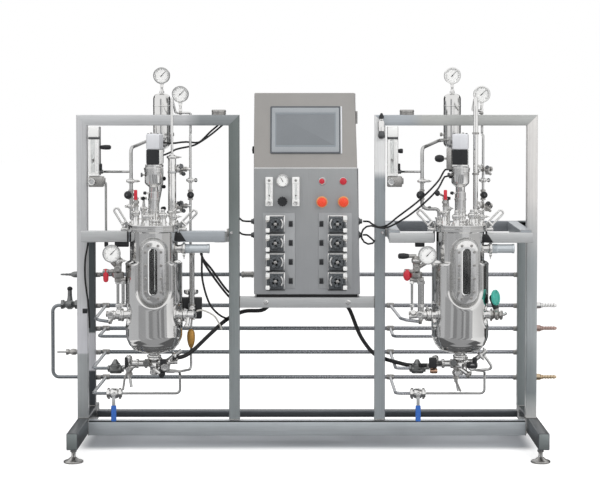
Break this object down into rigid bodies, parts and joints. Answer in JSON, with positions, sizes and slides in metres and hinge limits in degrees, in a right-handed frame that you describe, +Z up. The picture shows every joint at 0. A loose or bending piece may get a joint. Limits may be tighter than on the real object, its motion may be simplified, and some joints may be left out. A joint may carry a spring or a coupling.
{
  "type": "bench bioreactor",
  "caption": "Twin bench bioreactor: jacketed stirred vessels with sight windows, condensers and service piping on a steel stand, with a control cabinet between them.",
  "frame": {"origin": "on the floor, midway between the outer posts and midway along the side rails", "axes": "+X along the stand to the right seen from the front, +Y from the front to the back, +Z up"},
  "size_m": [1.995, 0.64, 1.442],
  "materials": {
    "brushed_steel": "satin, brushed along each tube",
    "polished_steel": "polished",
    "dark_steel": "satin, darker",
    "cabinet_steel": "fine brushed",
    "black_plastic": "matte",
    "red_plastic": "gloss",
    "blue_plastic": "matte",
    "rubber": "matte",
    "glass": "clear",
    "screen": "satin, screen off"
  },
  "bodies": {
    "stand": {"base_frame": "brushed_steel", "left_portal": "brushed_steel", "right_portal": "brushed_steel", "left_cradle": "brushed_steel", "right_cradle": "brushed_steel", "cabinet_shelf": "brushed_steel", "foot_front_left": "polished_steel", "foot_front_right": "polished_steel", "foot_rear_left": "polished_steel", "foot_rear_right": "polished_steel", "header_air": "brushed_steel", "header_water": "brushed_steel", "header_return": "brushed_steel", "header_steam": "brushed_steel", "left_vessel": "polished_steel", "left_lid": "polished_steel", "left_sight_frame": "brushed_steel", "left_sight_glass": "glass", "left_drive": "brushed_steel", "left_condenser": "polished_steel", "left_vent_line": "polished_steel", "left_rotameter": "glass", "left_side_manifold": "polished_steel", "left_drain_line": "polished_steel", "right_vessel": "polished_steel", "right_lid": "polished_steel", "right_sight_frame": "brushed_steel", "right_sight_glass": "glass", "right_drive": "brushed_steel", "right_condenser": "polished_steel", "right_vent_line": "polished_steel", "right_rotameter": "glass", "right_side_manifold": "polished_steel", "right_drain_line": "polished_steel", "cabinet_shell": "cabinet_steel", "touch_screen": "screen", "pump_bank_left": "dark_steel", "pump_bank_right": "dark_steel", "cable_left_upper": "rubber", "cable_left_lower": "rubber", "cable_right_upper": "rubber", "cable_right_lower": "rubber", "hose_left": "rubber", "hose_right": "rubber"},
    "left_agitator_body": {"left_agitator": "polished_steel"},
    "right_agitator_body": {"right_agitator": "polished_steel"},
    "left_vent_handle_body": {"left_vent_handle": "red_plastic"},
    "right_vent_handle_body": {"right_vent_handle": "red_plastic"},
    "left_steam_handle_body": {"left_steam_handle": "red_plastic"},
    "right_steam_handle_body": {"right_steam_handle": "red_plastic"},
    "left_drain_handle_body": {"left_drain_handle": "blue_plastic"},
    "right_drain_handle_body": {"right_drain_handle": "blue_plastic"},
    "left_harvest_handle_body": {"left_harvest_handle": "polished_steel"},
    "right_harvest_handle_body": {"right_harvest_handle": "polished_steel"},
    "left_rotameter_knob_body": {"left_rotameter_knob": "brushed_steel"},
    "right_rotameter_knob_body": {"right_rotameter_knob": "brushed_steel"},
    "e_stop_left_body": {"e_stop_left": "red_plastic"},
    "e_stop_right_body": {"e_stop_right": "red_plastic"},
    "regulator_knob_body": {"regulator_knob": "black_plastic"},
    "cabinet_door_body": {"cabinet_door": "cabinet_steel"}
  },
  "joints": [
    {"name": "left_agitator_spin", "type": "hinge", "parent": "stand", "child": "left_agitator_body", "pos_m": [-0.563, -0.181, 0.53], "axis": [0, 0, 1], "continuous": true},
    {"name": "right_agitator_spin", "type": "hinge", "parent": "stand", "child": "right_agitator_body", "pos_m": [0.563, -0.181, 0.53], "axis": [0, 0, 1], "continuous": true},
    {"name": "left_vent_valve", "type": "hinge", "parent": "stand", "child": "left_vent_handle_body", "pos_m": [-0.623, -0.245, 0.944], "axis": [0, 1, 0], "range_deg": [0, 90]},
    {"name": "right_vent_valve", "type": "hinge", "parent": "stand", "child": "right_vent_handle_body", "pos_m": [0.503, -0.245, 0.944], "axis": [0, 1, 0], "range_deg": [0, 90]},
    {"name": "left_steam_valve", "type": "hinge", "parent": "stand", "child": "left_steam_handle_body", "pos_m": [-0.739, -0.216, 0.69], "axis": [-1, 0, 0], "range_deg": [0, 90]},
    {"name": "right_steam_valve", "type": "hinge", "parent": "stand", "child": "right_steam_handle_body", "pos_m": [0.365, -0.216, 0.69], "axis": [-1, 0, 0], "range_deg": [0, 90]},
    {"name": "left_drain_valve", "type": "hinge", "parent": "stand", "child": "left_drain_handle_body", "pos_m": [-0.717, -0.149, 0.225], "axis": [0, -1, 0], "range_deg": [0, 90]},
    {"name": "right_drain_valve", "type": "hinge", "parent": "stand", "child": "right_drain_handle_body", "pos_m": [0.412, -0.149, 0.225], "axis": [0, -1, 0], "range_deg": [0, 90]},
    {"name": "left_harvest_valve", "type": "hinge", "parent": "stand", "child": "left_harvest_handle_body", "pos_m": [-0.655, -0.227, 0.33], "axis": [0, 1, 0], "range_deg": [0, 90]},
    {"name": "right_harvest_valve", "type": "hinge", "parent": "stand", "child": "right_harvest_handle_body", "pos_m": [0.549, -0.227, 0.316], "axis": [0, 1, 0], "range_deg": [0, 90]},
    {"name": "left_rotameter_turn", "type": "hinge", "parent": "stand", "child": "left_rotameter_knob_body", "pos_m": [-0.8072, -0.05, 1.01], "axis": [0, 1, 0], "range_deg": [0, 720]},
    {"name": "right_rotameter_turn", "type": "hinge", "parent": "stand", "child": "right_rotameter_knob_body", "pos_m": [0.3163, -0.05, 1.01], "axis": [0, 1, 0], "range_deg": [0, 720]},
    {"name": "left_stop_press", "type": "slide", "parent": "stand", "child": "e_stop_left_body", "axis": [0, 1, 0], "range_m": [0, 0.006]},
    {"name": "right_stop_press", "type": "slide", "parent": "stand", "child": "e_stop_right_body", "axis": [0, 1, 0], "range_m": [0, 0.006]},
    {"name": "regulator_turn", "type": "hinge", "parent": "stand", "child": "regulator_knob_body", "pos_m": [-0.092, -0.06, 0.937], "axis": [0, 1, 0], "range_deg": [0, 720]},
    {"name": "cabinet_door_swing", "type": "hinge", "parent": "stand", "child": "cabinet_door_body", "pos_m": [0.194, 0.2646, 1], "axis": [0, 0, -1], "range_deg": [0, 110]}
  ]
}
